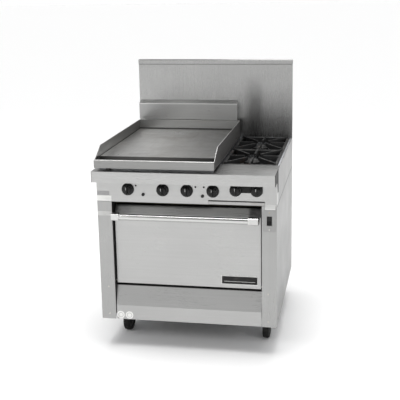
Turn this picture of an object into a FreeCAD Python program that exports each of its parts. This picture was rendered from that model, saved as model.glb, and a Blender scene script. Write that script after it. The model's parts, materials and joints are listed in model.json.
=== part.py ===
"""Commercial gas range, 34 inch: griddle and two open burners over a convection oven on casters.

Frame: +X to the right as seen by the cook in front, +Y towards the wall behind, +Z up. The origin is on the
floor, under the centre of the bounding box. All sizes are in millimetres.
"""

import FreeCAD
import Part
import math
import os

V = FreeCAD.Vector

# ---------------------------------------------------------------- driving dimensions
WIDTH = 864.0  # 34 in
DEPTH = 965.0  # 38 in, ledge to wall
LEDGE_REACH = 76.0  # how far the front ledge stands out of the body
DECK_Z = 914.0  # 36 in, cooking top
BODY_Z = 152.0  # 6 in, underside of the body
TUBE_TOP = BODY_Z + 26.0  # top of the base frame
GUARD_HEIGHT = 432.0  # 17 in, backguard above the deck
SHEET = 2.0  # body sheet steel
FIT = 0.2  # gap between pieces that only rest on each other

HALF = WIDTH / 2
INNER = HALF - SHEET
FRONT = -DEPTH / 2 + LEDGE_REACH  # plane of the body's front
REAR = DEPTH / 2

# body
STILE = 71.0  # width of each front stile
OPENING = HALF - STILE  # half width between the stiles
SEAM_Z = 750.0  # joint of the lower and the upper side panels
SEAM_GAP = 1.5
FRAME_BACK = FRONT + 82.0  # how far back the stiles' returns reach
PANEL_Z = 752.0  # lower edge of the control panel
FASCIA_Z = 862.0  # lower edge of the ledge's front
LEDGE_BACK = FRONT + 146.0  # where the ledge ends and the burner well begins
CAP_BACK = FRONT + 70.0  # back of the ledge's end caps
CAP_LOW = 805.0
GUARD_Y = FRONT + 868.0  # front of the backguard

# oven
CAVITY_X = 330.0  # half width inside
CAVITY_LOW = 346.0
CAVITY_TOP = 700.0
CAVITY_FRONT = FRONT + 84.0
CAVITY_BACK = FRONT + 760.0
BAFFLE_Y = FRONT + 690.0
OVEN_BURNER_Z = 262.0
FAN_Z = 523.0
FAN_R = 85.0
FAN_SHAFT_R = 5.0
RACK_LEVELS = (405.0, 475.0, 545.0, 615.0)
RACK_WIRE = 4.0  # radius of a rack's frame
WOOL = 40.0  # insulation at the oven's sides
WOOL_TOP = 30.0

# door
DOOR_X = 354.0  # half width
DOOR_FACE = FRONT + 25.0
DOOR_BACK = FRONT + 80.0
DOOR_LOW = 334.0
DOOR_BEND = 688.0
DOOR_TOP = 724.0
DOOR_TOP_Y = FRONT + 50.0
HINGE_Y = FRONT + 37.0
HINGE_Z = 343.0
HINGE_R = 5.0
HANDLE_Y = FRONT - 35.0
HANDLE_Z = 687.0
HANDLE_R = 15.5
HANDLE_X = (-316.0, 302.0)  # the tube's ends
BRACKET_X = ((-352.0, -316.0), (302.0, 349.0))
DISH = 8.0  # depth of the inner panel's dish
SPRING_REACH = 34.0  # from the hinge to the spring's hook, along Y and down
SPRING_X = OPENING + 18
SPRING_R = 8.0

# griddle
GRIDDLE_LEFT = -424.0
GRIDDLE_RIGHT = 149.0
GRIDDLE_FRONT = FRONT - 51.0
PLATE_FRONT = FRONT + 38.0
PLATE_BACK = FRONT + 806.0
PLATE_TOP = 965.0
PLATE_THICK = 25.0
SPLASH_TOP = 1015.0
GRIDDLE_FOOT = 926.0
SPLASH = 3.0  # plate of the griddle's splash and trough
RISER_TOP = 1107.0
RISER_Y = FRONT + 820.0
RISER_RIGHT = 132.0
DRAIN_X = GRIDDLE_LEFT + 60.0
DRAIN_Y = FRONT - 22.0
DRAIN_R = 9.0

# open burners
WELL_LEFT = 142.0
WELL_RIGHT = 420.0
WELL_BACK = FRONT + 862.0
GRATE_X = (152.0, 418.0)
GRATE_Y = ((FRONT + 150.0, FRONT + 503.0), (FRONT + 507.0, FRONT + 860.0))
GRATE_SEAT = 890.0
GRATE_TOP = 922.0
BURNER_X = 276.0
BOWL_R = 44.0
HEAD_R = 42.0

# controls: (x, z) of each knob, from the left
KNOBS = ((-277.0, 815.0), (-108.0, 815.0), (8.0, 815.0), (132.0, 816.0), (240.0, 824.0), (338.0, 824.0))
KNOB_NAMES = ("griddle_left", "griddle_middle", "griddle_right", "oven", "burner_left", "burner_right")
BUTTONS = ((-203.0, 791.0), (83.0, 791.0))
TEST_HOLES = ((-238.0, 833.0), (50.0, 834.0), (90.0, 834.0))
STEM_R = 4.0
STEM_HOLE_R = 5.5
BUTTON_R = 7.5
MANIFOLD_Y = FRONT + 40.0
MANIFOLD_Z = 850.0
PIPE_R = 13.0
GAS_X = 396.0
REGULATOR_Y = FRONT + 815.0
REGULATOR_R = 25.0
INLET_R = 12.0
INLET_DEEP = 24.0
VALVE_BACK = FRONT + 68.0  # where the valves' outlets end
TEST_HOLE_R = 4.5

# drip tray
TRAY_X = (111.0, 375.0)
TRAY_Z = (753.0, 767.0)
TRAY_SLOT = 6.0  # dark gap above the tray's lip

# switch
SWITCH_X = 397.0
SWITCH_Z = 681.0
ROCKER = (23.0, 42.0)
ROCKER_TILT = 8.0
ROCKER_PIVOT_Y = FRONT + 5.0
ROCKER_PIN_R = 1.5
HOOD_Z = (736.0, 758.0)

# casters
WHEEL_R = 63.5
WHEEL_W = 32.0
TRAIL = 38.0
CASTER_X = 360.0
CASTER_Y = (FRONT + 192.0, FRONT + 739.0)
AXLE_R = 5.0
AXLE_FIT = 0.05
KING_PIN_R = 8.0
NUT_R = 8.5
# name, which side, which row, how far the caster has swivelled, in degrees
CASTERS = (
    ("front_left", -1, 0, -2.0),
    ("front_right", 1, 0, 0.0),
    ("rear_left", -1, 1, -9.0),
    ("rear_right", 1, 1, 12.0),
)


# ---------------------------------------------------------------- shape helpers
def block(x0, x1, y0, y1, z0, z1):
    """A box between two corners."""
    return Part.makeBox(x1 - x0, y1 - y0, z1 - z0, V(x0, y0, z0))


def rod(start, end, radius):
    """A round bar from one point to another."""
    axis = V(*end) - V(*start)
    return Part.makeCylinder(radius, axis.Length, V(*start), axis)


def prism_x(points, x0, x1):
    """A (y, z) outline carried along X."""
    corners = [V(x0, y, z) for y, z in points]
    return Part.Face(Part.makePolygon(corners + corners[:1])).extrude(V(x1 - x0, 0, 0))


def prism_z(points, z0, z1):
    """An (x, y) outline carried along Z."""
    corners = [V(x, y, z0) for x, y in points]
    return Part.Face(Part.makePolygon(corners + corners[:1])).extrude(V(0, 0, z1 - z0))


def folded(path, x0, x1, thickness=SHEET):
    """Sheet bent along a (y, z) path and carried along X, the metal on the right of the way it runs."""

    def normal(a, b):
        length = math.hypot(b[0] - a[0], b[1] - a[1])
        return (b[1] - a[1]) / length, -(b[0] - a[0]) / length

    normals = [normal(a, b) for a, b in zip(path, path[1:])]
    inner = []
    for i, (y, z) in enumerate(path):
        before = normals[max(i - 1, 0)]
        after = normals[min(i, len(normals) - 1)]
        scale = thickness / (1 + before[0] * after[0] + before[1] * after[1])
        inner.append((y + (before[0] + after[0]) * scale, z + (before[1] + after[1]) * scale))
    return prism_x(list(path) + inner[::-1], x0, x1)


def fuse(shapes):
    """One shape from several, without the seams inside flat faces."""
    whole = shapes[0].multiFuse(shapes[1:]) if len(shapes) > 1 else shapes[0]
    return whole.removeSplitter()


def rounded(shape, radius, chosen):
    """Fillets the edges that chosen() picks by their bounding box."""
    edges = [e for e in shape.Edges if chosen(e.BoundBox)]
    return shape.makeFillet(radius, edges)


def mirrored(shape):
    """The other hand of a right-hand shape."""
    return shape.mirror(V(0, 0, 0), V(1, 0, 0))


def save(name, *shapes):
    """Writes one node, each solid apart."""
    solids = [solid for shape in shapes for solid in shape.Solids]
    whole = solids[0] if len(solids) == 1 else Part.makeCompound(solids)
    whole.exportStep(os.path.join("parts", name + ".step"))
    volume = sum(solid.Volume for solid in solids) / 1000
    print(f"{name:24s} {len(solids):3d} solids {volume:10.1f} cm3 valid {whole.isValid()}")


# ---------------------------------------------------------------- body
def base_frame():
    """Angle iron all round, and a plate over each pair of casters."""
    low, high = BODY_Z, TUBE_TOP
    leg, wall = 26.0, 4.0
    front, rear = FRONT + 40, REAR - SHEET
    half = 55
    strips = [block(s * CASTER_X - half, s * CASTER_X + half, front + leg, rear - leg, low, low + wall)
              for s in (-1, 1)]
    side = block(INNER - wall, INNER, front + leg, rear - leg, low, high)
    ends = []
    for web, flange in (((front, front + wall), (front + wall, front + leg)),
                        ((rear - wall, rear), (rear - leg, rear - wall))):
        ends.append(block(-INNER, INNER, *web, low, high))
        ends.append(block(-INNER, INNER, *flange, low, low + wall))
    return strips + [side, mirrored(side)] + ends


def side_panel():
    """Lower right side panel."""
    return block(INNER, HALF, FRONT + SHEET, REAR - SHEET, BODY_Z, SEAM_Z)


def upper_side_panel():
    """Right panel beside the cooking top, behind the ledge's end cap."""
    return block(INNER, HALF, CAP_BACK + 1, REAR - SHEET, SEAM_Z + SEAM_GAP, DECK_Z)


def back_panel():
    """Rear closing sheets with a window for the gas inlet."""
    y0, y1 = REAR - SHEET, REAR
    window = (GAS_X - 26, GAS_X + 26)
    sill, head = MANIFOLD_Z - 30, MANIFOLD_Z + 30
    return [
        block(-HALF, HALF, y0, y1, BODY_Z, SEAM_Z),
        block(-HALF, window[0], y0, y1, SEAM_Z, DECK_Z),
        block(window[0], HALF, y0, y1, SEAM_Z, sill),
        block(window[0], HALF, y0, y1, head, DECK_Z),
        block(window[1], HALF, y0, y1, sill, head),
    ]


def front_frame():
    """Stiles with their inward returns, and the header and sill between them."""
    hole = rod((OPENING - 5, HINGE_Y, HINGE_Z), (OPENING + 10, HINGE_Y, HINGE_Z), HINGE_R + AXLE_FIT)
    face = block(OPENING, HALF, FRONT, FRONT + SHEET, BODY_Z, PANEL_Z - 1)
    inside = block(OPENING, OPENING + SHEET, FRONT + SHEET, FRAME_BACK, TUBE_TOP, PANEL_Z - 1).cut(hole)
    header = block(-OPENING, OPENING, FRAME_BACK - SHEET, FRAME_BACK, CAVITY_TOP + 27, PANEL_Z - 1)
    sill = block(-OPENING, OPENING, FRAME_BACK - SHEET, FRAME_BACK, 290, CAVITY_LOW - 16)
    return [face.cut(rocker_window()), inside, mirrored(face), mirrored(inside), header, sill]


def kick_panel():
    """Lower front panel: it leans back above a bend, and its edges turn in."""
    path = [(FRONT + 24, BODY_Z), (FRONT + 3, BODY_Z), (FRONT + 3, 224), (FRONT + 29, 322), (FRONT + 50, 322)]
    return folded(path, -OPENING + 4, OPENING - 2)


def control_panel():
    """Full-width panel behind the knobs, with end returns, and a notch for the drip tray."""
    top = FASCIA_Z - 0.5
    face = block(-HALF, HALF, FRONT, FRONT + SHEET, PANEL_Z, top)
    tongue = block(-INNER + 1, INNER - 1, FRONT, FRONT + SHEET, top, DECK_Z - 12)
    shelf = block(-INNER, INNER, FRONT + SHEET, FRONT + 20, PANEL_Z, PANEL_Z + SHEET)
    outline = [(FRONT + SHEET, PANEL_Z), (CAP_BACK, PANEL_Z), (CAP_BACK, CAP_LOW - 0.5),
               (CAP_BACK - 34.5, CAP_LOW - 0.5), (FRONT + 5, top), (FRONT + SHEET, top)]
    end = prism_x(outline, INNER, HALF)
    panel = fuse([face, tongue, shelf, end, mirrored(end)])
    notch = block(TRAY_X[0] - 1, TRAY_X[1] + 1, FRONT - 5, FRONT + 30, PANEL_Z - 5, TRAY_Z[1] + TRAY_SLOT)
    cuts = [notch]
    cuts += [rod((x, FRONT - 5, z), (x, FRONT + 5, z), STEM_HOLE_R) for x, z in KNOBS]
    cuts += [rod((x, FRONT - 5, z), (x, FRONT + 5, z), BUTTON_R + 0.5) for x, z in BUTTONS]
    cuts += [rod((x, FRONT - 5, z), (x, FRONT + 5, z), TEST_HOLE_R) for x, z in TEST_HOLES]
    return panel.cut(Part.makeCompound(cuts))


def front_ledge():
    """Plate ledge: deck, front fascia and its hem, in one bent sheet."""
    path = [(LEDGE_BACK, DECK_Z - 14), (LEDGE_BACK, DECK_Z), (FRONT - LEDGE_REACH, DECK_Z),
            (FRONT - LEDGE_REACH, FASCIA_Z), (FRONT - LEDGE_REACH + 24, FASCIA_Z),
            (FRONT - LEDGE_REACH + 24, FASCIA_Z + 12)]
    ledge = folded(path[::-1], -INNER, INNER)
    return ledge.cut(rod((DRAIN_X, DRAIN_Y, DECK_Z - 5), (DRAIN_X, DRAIN_Y, DECK_Z + 1), DRAIN_R + 4))


def ledge_end_cap():
    """Right end of the ledge: a flat plate that runs down behind the control panel's edge."""
    top = DECK_Z
    out = FRONT - LEDGE_REACH
    outline = [(out, FASCIA_Z), (out, top), (CAP_BACK, top), (CAP_BACK, CAP_LOW), (CAP_BACK - 34, CAP_LOW),
               (FRONT + 6, FASCIA_Z)]
    return prism_x(outline, INNER, HALF)


# ---------------------------------------------------------------- oven
def oven_liner():
    """Five welded walls and the flange that the door closes on."""
    x, t = CAVITY_X, SHEET
    low, top = CAVITY_LOW, CAVITY_TOP
    back = block(-x, x, CAVITY_BACK, CAVITY_BACK + t, low, top)
    shaft_hole = rod((0, CAVITY_BACK - 5, FAN_Z), (0, CAVITY_BACK + 5, FAN_Z), 8)
    walls = [
        block(x, x + t, CAVITY_FRONT + t, CAVITY_BACK + t, low - t, top + t),
        block(-x - t, -x, CAVITY_FRONT + t, CAVITY_BACK + t, low - t, top + t),
        block(-x, x, CAVITY_FRONT + t, CAVITY_BACK + t, top, top + t),
        block(-x, x, CAVITY_FRONT + t, CAVITY_BACK + t, low - t, low),
        back.cut(shaft_hole),
    ]
    flange_x = OPENING
    flanges = [
        block(x, flange_x, CAVITY_FRONT, CAVITY_FRONT + t, low - 14, top + 24),
        block(-flange_x, -x, CAVITY_FRONT, CAVITY_FRONT + t, low - 14, top + 24),
        block(-x, x, CAVITY_FRONT, CAVITY_FRONT + t, top, top + 24),
        block(-x, x, CAVITY_FRONT, CAVITY_FRONT + t, low - 14, low),
    ]
    return walls + flanges


def oven_insulation():
    """Glass-wool slabs packed round the liner."""
    y0, y1 = CAVITY_FRONT + 30, CAVITY_BACK
    x = CAVITY_X + SHEET + 1
    low, top = CAVITY_LOW, CAVITY_TOP + SHEET + 1
    side = block(x, x + WOOL, y0, y1, low, top + WOOL_TOP)
    return [side, mirrored(side), block(-x, x, y0, y1, top, top + WOOL_TOP)]


def oven_burner():
    """Cast burner under the oven floor: a long body with a crossbar, and its mixer tube to the front."""
    z = OVEN_BURNER_Z
    body = rod((0, FRONT + 210, z), (0, FRONT + 640, z), 20)
    bars = [rod((-150, FRONT + y, z), (150, FRONT + y, z), 15) for y in (300, 540)]
    mixer = rod((0, FRONT + 130, z), (0, FRONT + 210, z), 12)
    bell = Part.makeCone(20, 12, 20, V(0, FRONT + 116, z), V(0, 1, 0))
    return fuse([body, mixer, bell] + bars)


def burner_cradle():
    """Two strips across the base that carry the oven burner, each on a post at both ends."""
    strips = [block(-CASTER_X, CASTER_X, FRONT + y, FRONT + y + 25, 238, 241) for y in (230, 590)]
    posts = [block(s * CASTER_X - 10, s * CASTER_X + 10, FRONT + y, FRONT + y + 25, BODY_Z + 4, 238)
             for s in (-1, 1) for y in (230, 590)]
    return strips + posts


def rack_guide():
    """Right-hand guide: two posts and a ledge for each rack height."""
    x0, x1 = CAVITY_X - 14, CAVITY_X - FIT
    posts = [block(x1 - 4, x1, CAVITY_FRONT + y, CAVITY_FRONT + y + 14, CAVITY_LOW + 20, CAVITY_TOP - 30)
             for y in (50, 560)]
    ledges = [block(x0, x1 - 4, CAVITY_FRONT + 20, BAFFLE_Y - 15, z - 3, z) for z in RACK_LEVELS]
    return posts + ledges


def oven_rack(level):
    """Wire rack: a round-bar frame with lighter wires running front to back."""
    z = level + RACK_WIRE + FIT
    x = CAVITY_X - 9
    y0, y1 = CAVITY_FRONT + 52, BAFFLE_Y - 22
    frame = [rod((-x, y0, z), (x, y0, z), RACK_WIRE), rod((-x, y1, z), (x, y1, z), RACK_WIRE)]
    frame += [rod((s * x, y0, z), (s * x, y1, z), RACK_WIRE) for s in (-1, 1)]
    frame += [Part.makeSphere(RACK_WIRE, V(sx * x, y, z)) for sx in (-1, 1) for y in (y0, y1)]
    count = 13
    pitch = 2 * x / (count + 1)
    wires = [rod((-x + pitch * (i + 1), y0, z), (-x + pitch * (i + 1), y1, z), 2.5) for i in range(count)]
    cross = [rod((-x, (y0 + y1) / 2, z), (x, (y0 + y1) / 2, z), 3)]
    return fuse(frame + wires + cross)


def fan_baffle():
    """Plate in front of the fan, with its intake, the wires across it, and slots for the returning air."""
    plate = block(-CAVITY_X + 6, CAVITY_X - 6, BAFFLE_Y, BAFFLE_Y + SHEET, CAVITY_LOW + 4, CAVITY_TOP - 4)
    hole = rod((0, BAFFLE_Y - 5, FAN_Z), (0, BAFFLE_Y + 5, FAN_Z), 78)
    slots = [block(s * 270 - 12, s * 270 + 12, BAFFLE_Y - 5, BAFFLE_Y + 5, FAN_Z + dz - 30, FAN_Z + dz + 30)
             for s in (-1, 1) for dz in (-90, 0, 90)]
    wires = [rod((-84, BAFFLE_Y - 1.2, FAN_Z + dz), (84, BAFFLE_Y - 1.2, FAN_Z + dz), 1.2)
             for dz in (-52, -26, 0, 26, 52)]
    return [plate.cut(Part.makeCompound([hole] + slots))] + wires


def fan_wheel():
    """Radial fan with its shaft through the oven's back wall."""
    y = BAFFLE_Y + 14
    disc = rod((0, y + 30, FAN_Z), (0, y + 32, FAN_Z), FAN_R)
    hub = rod((0, y + 8, FAN_Z), (0, y + 30, FAN_Z), 14)
    shaft = rod((0, y + 32, FAN_Z), (0, CAVITY_BACK + 30, FAN_Z), FAN_SHAFT_R)
    blades = []
    for i in range(8):
        blade = block(36, FAN_R - 1, y, y + 30, FAN_Z - 1, FAN_Z + 1)
        blade.rotate(V(0, y, FAN_Z), V(0, 1, 0), i * 45)
        blades.append(blade)
    return fuse([disc, hub, shaft] + blades)


def fan_motor():
    """Motor on four stand-offs behind the oven, with a plain bore for the fan's shaft."""
    can = rod((0, CAVITY_BACK + 24, FAN_Z), (0, CAVITY_BACK + 96, FAN_Z), 48)
    flange = block(-60, 60, CAVITY_BACK + 16, CAVITY_BACK + 24, FAN_Z - 60, FAN_Z + 60)
    corners = [(sx * 50, FAN_Z + sz * 50) for sx in (-1, 1) for sz in (-1, 1)]
    feet = [rod((x, CAVITY_BACK + SHEET, z), (x, CAVITY_BACK + 16, z), 5) for x, z in corners]
    bore = rod((0, CAVITY_BACK + 10, FAN_Z), (0, CAVITY_BACK + 31, FAN_Z), FAN_SHAFT_R + AXLE_FIT)
    return fuse([can, flange] + feet).cut(bore)


# ---------------------------------------------------------------- door
def door_skin():
    """Outer panel, folded back at the top and the bottom and closed at both ends."""
    path = [(DOOR_BACK, DOOR_LOW), (DOOR_FACE, DOOR_LOW), (DOOR_FACE, DOOR_BEND), (DOOR_TOP_Y, DOOR_TOP),
            (DOOR_BACK, DOOR_TOP)]
    skin = folded(path, -DOOR_X, DOOR_X)
    rear = DOOR_BACK - SHEET - FIT
    outline = [(rear, DOOR_LOW), (DOOR_FACE, DOOR_LOW), (DOOR_FACE, DOOR_BEND), (DOOR_TOP_Y, DOOR_TOP),
               (rear, DOOR_TOP)]
    ends = [prism_x(outline, x, x + SHEET) for x in (-DOOR_X, DOOR_X - SHEET)]
    return fuse([skin] + ends)


def door_liner():
    """Inner panel, dished in the middle to stiffen it."""
    low, high = DOOR_LOW + SHEET, DOOR_TOP - SHEET - 3
    dish_x, dish_low, dish_high = DOOR_X - 70, DOOR_LOW + 70, DOOR_TOP - 80
    front, back = DOOR_BACK - SHEET, DOOR_BACK
    floor = front - DISH
    panel = block(-DOOR_X, DOOR_X, front, back, low, high)
    panel = panel.cut(block(-dish_x, dish_x, front - 1, back + 1, dish_low, dish_high))
    dish = block(-dish_x - SHEET, dish_x + SHEET, floor, front, dish_low - SHEET, dish_high + SHEET)
    dish = dish.cut(block(-dish_x, dish_x, floor + SHEET, back + 1, dish_low, dish_high))
    return fuse([panel, dish])


def door_insulation():
    """Slab between the door's skin and its liner."""
    y0, y1 = DOOR_FACE + SHEET + FIT, DOOR_BACK - SHEET - DISH - FIT
    return block(-DOOR_X + 5, DOOR_X - 5, y0, y1, DOOR_LOW + 30, DOOR_BEND - 6)


def handle_bar():
    """Straight tube between the brackets."""
    left, right = HANDLE_X
    tube = rod((left, HANDLE_Y, HANDLE_Z), (right, HANDLE_Y, HANDLE_Z), HANDLE_R)
    bore = rod((left - 1, HANDLE_Y, HANDLE_Z), (right + 1, HANDLE_Y, HANDLE_Z), HANDLE_R - 2)
    return tube.cut(bore)


def handle_bracket(x0, x1):
    """Cast end bracket: a foot on the door, an arm, and a block that takes the tube's end."""
    y, z, r = HANDLE_Y, HANDLE_Z, HANDLE_R + 0.5
    corner = 3
    foot_top, foot_low = z - 1, z - 25
    arm = y + r + 12
    outline = [(y - r, z - r + corner), (y - r, z + r - corner), (y - r + corner, z + r), (y + r, z + r),
               (arm, foot_top), (DOOR_FACE, foot_top), (DOOR_FACE, foot_low), (arm, foot_low + 2),
               (y + r, z - r), (y - r + corner, z - r)]
    return prism_x(outline, x0, x1)


def hinge_arm():
    """Right-hand arm: the pin that the door turns on, and the lever that stretches the spring."""
    pin = rod((DOOR_X, HINGE_Y, HINGE_Z), (OPENING + 12, HINGE_Y, HINGE_Z), HINGE_R)
    lever_x = (OPENING + 6, OPENING + 12)
    tip = (HINGE_Y + SPRING_REACH, HINGE_Z - SPRING_REACH)
    across = 6.0
    outline = [(HINGE_Y - across, HINGE_Z - across), (HINGE_Y + across, HINGE_Z + across),
               (tip[0] + across, tip[1] + across), (tip[0] - across, tip[1] - across)]
    lever = prism_x(outline, *lever_x)
    hook = rod((lever_x[1], tip[0], tip[1]), (lever_x[1] + 12, tip[0], tip[1]), 3)
    return fuse([pin, lever, hook])


def door_spring():
    """Right-hand door spring: its outer shape, with an eye at each end."""
    y = HINGE_Y + SPRING_REACH
    top = HINGE_Z - SPRING_REACH - 3 - FIT
    coil = rod((SPRING_X, y, BODY_Z + 40), (SPRING_X, y, top - 12), SPRING_R)
    core = rod((SPRING_X, y, BODY_Z + 39), (SPRING_X, y, top - 11), SPRING_R - 2)
    spans = ((BODY_Z + 26, BODY_Z + 42), (top - 14, top))
    eyes = [rod((SPRING_X, y, low), (SPRING_X, y, high), 1.5) for low, high in spans]
    ends = [rod((SPRING_X, y, z), (SPRING_X, y, z + 2), SPRING_R) for z in (BODY_Z + 40, top - 14)]
    return fuse([coil.cut(core)] + ends + eyes)


# ---------------------------------------------------------------- griddle
def griddle_plate():
    """Thick steel plate inside the splash."""
    x0, x1 = GRIDDLE_LEFT + SPLASH, GRIDDLE_RIGHT - SPLASH
    return block(x0, x1, PLATE_FRONT, PLATE_BACK, PLATE_TOP - PLATE_THICK, PLATE_TOP)


def griddle_surround():
    """Splash on three sides, bullnose front bar, grease trough and the chute of its drain."""
    t = SPLASH
    front = GRIDDLE_FRONT
    side = [(front + 14, GRIDDLE_FOOT), (front + 14, PLATE_TOP - 1), (FRONT + 56, SPLASH_TOP),
            (PLATE_BACK + t, SPLASH_TOP), (PLATE_BACK + t, GRIDDLE_FOOT)]
    left = prism_x(side, GRIDDLE_LEFT, GRIDDLE_LEFT + t)
    right = prism_x(side, GRIDDLE_RIGHT - t, GRIDDLE_RIGHT)
    bar = block(GRIDDLE_LEFT, GRIDDLE_RIGHT, front, front + 14, GRIDDLE_FOOT, PLATE_TOP)
    bar = rounded(bar, 6.0, lambda b: b.XLength > 100 and b.ZMin > PLATE_TOP - 1)
    x0, x1 = GRIDDLE_LEFT + t, GRIDDLE_RIGHT - t
    floor = GRIDDLE_FOOT + 6
    trough = block(x0, x1, front + 14, PLATE_FRONT - t, floor - t, floor)
    trough = trough.cut(rod((DRAIN_X, DRAIN_Y, floor - t - 1), (DRAIN_X, DRAIN_Y, floor + 1), DRAIN_R))
    lip = block(x0, x1, PLATE_FRONT - t, PLATE_FRONT, floor - t, PLATE_TOP - PLATE_THICK)
    rear = block(x0, x1, PLATE_BACK, PLATE_BACK + t, GRIDDLE_FOOT, SPLASH_TOP - 2)
    roll = block(x0, x1, PLATE_BACK, PLATE_BACK + 12, SPLASH_TOP - 2, SPLASH_TOP)
    chute = rod((DRAIN_X, DRAIN_Y, DECK_Z - 22), (DRAIN_X, DRAIN_Y, floor - t), DRAIN_R + 2)
    chute = chute.cut(rod((DRAIN_X, DRAIN_Y, DECK_Z - 23), (DRAIN_X, DRAIN_Y, floor), DRAIN_R))
    return [left, right, bar, trough, lip, rear, roll, chute]


def open_tray(x0, x1, y0, y1, low, high, wall=1.5):
    """Floor and four walls of a sheet tray."""
    return [
        block(x0, x1, y0, y1, low, low + wall),
        block(x0, x0 + wall, y0, y1, low + wall, high),
        block(x1 - wall, x1, y0, y1, low + wall, high),
        block(x0 + wall, x1 - wall, y0, y0 + wall, low + wall, high),
        block(x0 + wall, x1 - wall, y1 - wall, y1, low + wall, high),
    ]


def grease_pan():
    """Open pan hung inside the hollow ledge, under the trough's drain."""
    x0 = GRIDDLE_LEFT + 14
    return open_tray(x0, x0 + 200, FRONT - 46, FRONT - 6, FASCIA_Z + 4, DECK_Z - 14)


def griddle_burners():
    """A straight burner under each third of the plate, with its mixer tube slanting down to its valve."""
    burners = []
    z = 885
    for x, (valve_x, valve_z) in zip((-330.0, -138.0, 54.0), KNOBS):
        tube = rod((x, FRONT + 170, z), (x, FRONT + 760, z), 16)
        mixer = rod((valve_x, FRONT + 82, valve_z), (x, FRONT + 186, z), 9)
        mouth = rod((valve_x, FRONT + 74, valve_z), (valve_x, FRONT + 88, valve_z), 15)
        burners.append(fuse([tube, mixer, mouth]))
    return burners


def flue_riser():
    """Duct in front of the backguard that lets the griddle's flue gas out of the top."""
    left, right = GRIDDLE_LEFT, RISER_RIGHT
    foot, lip = SPLASH_TOP + 2, GUARD_Y - 7
    face = folded([(RISER_Y, foot), (RISER_Y, RISER_TOP), (lip, RISER_TOP + 12)], left, right)
    side = [(RISER_Y + SHEET, foot), (RISER_Y + SHEET, RISER_TOP - 1), (lip, RISER_TOP + 10),
            (GUARD_Y - 1, RISER_TOP + 10), (GUARD_Y - 1, foot)]
    ends = [prism_x(side, x, x + SHEET) for x in (left, right - SHEET)]
    return fuse([face] + ends)


def backguard():
    """Tall splash behind the cooking top: face, side returns, and a rolled head that stands proud."""
    top = DECK_Z + GUARD_HEIGHT
    head_low = top - 26
    proud = GUARD_Y - 5
    face = block(-HALF, HALF, GUARD_Y, GUARD_Y + SHEET, DECK_Z, head_low)
    sides = [block(x, x + SHEET, GUARD_Y + SHEET, REAR, DECK_Z, head_low) for x in (-HALF, HALF - SHEET)]
    rear_of_face = GUARD_Y + SHEET
    head = folded([(rear_of_face, head_low), (proud, head_low + 2), (proud, top - 3), (rear_of_face, top),
                   (REAR, top), (REAR, head_low)], -HALF, HALF)
    return [face, head] + sides


def guard_braces():
    """Channels that stiffen the backguard from behind."""
    y0, y1 = GUARD_Y + SHEET, REAR - 1
    return [block(x - 20, x + 20, y0, y1, DECK_Z, DECK_Z + GUARD_HEIGHT - 30) for x in (-200, 200)]


# ---------------------------------------------------------------- open burners
def burner_box():
    """Partitions, wells and ledges under the cooking top."""
    y0, y1 = LEDGE_BACK + 2, WELL_BACK
    left, wall_low = -414.0, 780.0
    return [
        block(WELL_LEFT - SHEET, WELL_LEFT, y0, y1, wall_low, GRIDDLE_FOOT),
        block(left - SHEET, left, y0, y1, wall_low, GRIDDLE_FOOT),
        block(left, WELL_LEFT - SHEET, PLATE_BACK - 6, PLATE_BACK - 4, 860, GRIDDLE_FOOT),
        block(-410, WELL_LEFT - 4, FRONT - 8, FRONT + 12, DECK_Z, GRIDDLE_FOOT),
        block(WELL_RIGHT, WELL_RIGHT + SHEET, y0, y1, 868, DECK_Z - 2),
        block(WELL_RIGHT - 18, WELL_RIGHT, y0, y1, GRATE_SEAT - 2, GRATE_SEAT),
        block(WELL_LEFT, WELL_LEFT + 18, y0, y1, GRATE_SEAT - 2, GRATE_SEAT),
        block(WELL_LEFT, WELL_RIGHT + SHEET, y1, y1 + SHEET, 872, DECK_Z),
        block(WELL_RIGHT + SHEET, HALF - SHEET, y0, y1, DECK_Z - 4, DECK_Z - 2),
    ]


def tray_runners():
    """Two rails that the drip tray slides on."""
    low, high = TRAY_Z[0] - 3, TRAY_Z[0] - 0.5
    return [block(x - 6, x + 6, FRAME_BACK + 1, WELL_BACK - 2, low, high) for x in (122, 364)]


def drip_tray():
    """Pull-out tray under the open burners, with the lip that shows below the control panel."""
    pan = open_tray(TRAY_X[0] + 3, TRAY_X[1] - 3, FRONT + SHEET, FRONT + 840, *TRAY_Z)
    lip = block(TRAY_X[0], TRAY_X[1], FRONT - 1, FRONT + SHEET, *TRAY_Z)
    return pan + [lip]


def grate(y0, y1):
    """Cast grate: a rim, four corner fingers and four side fingers that stop short of the burner."""
    x0, x1 = GRATE_X
    cx, cy = (x0 + x1) / 2, (y0 + y1) / 2
    rim_low, rim_top = GRATE_SEAT + FIT, GRATE_TOP - 8
    wide = 13
    inside = block(x0 + wide, x1 - wide, y0 + wide, y1 - wide, rim_low - 1, rim_top + 1)
    rim = block(x0, x1, y0, y1, rim_low, rim_top).cut(inside)
    hub_r = 47.0
    shapes = [rim]
    for sx in (-1, 0, 1):
        for sy in (-1, 0, 1):
            if sx == 0 and sy == 0:
                continue
            end = V(cx + sx * ((x1 - x0) / 2 - 8), cy + sy * ((y1 - y0) / 2 - 8), 0)
            way = end - V(cx, cy, 0)
            length = way.Length
            outline = [(hub_r, GRATE_TOP - 14), (hub_r, GRATE_TOP), (length - 6, GRATE_TOP),
                       (length, rim_top - 2), (length, rim_low + 4), (hub_r + 34, rim_low + 8)]
            corners = [V(u, -4.5, z) for u, z in outline]
            finger = Part.Face(Part.makePolygon(corners + corners[:1])).extrude(V(0, 9, 0))
            finger.rotate(V(0, 0, 0), V(0, 0, 1), math.degrees(math.atan2(way.y, way.x)))
            finger.translate(V(cx, cy, 0))
            shapes.append(finger)
    return fuse(shapes)


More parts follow.
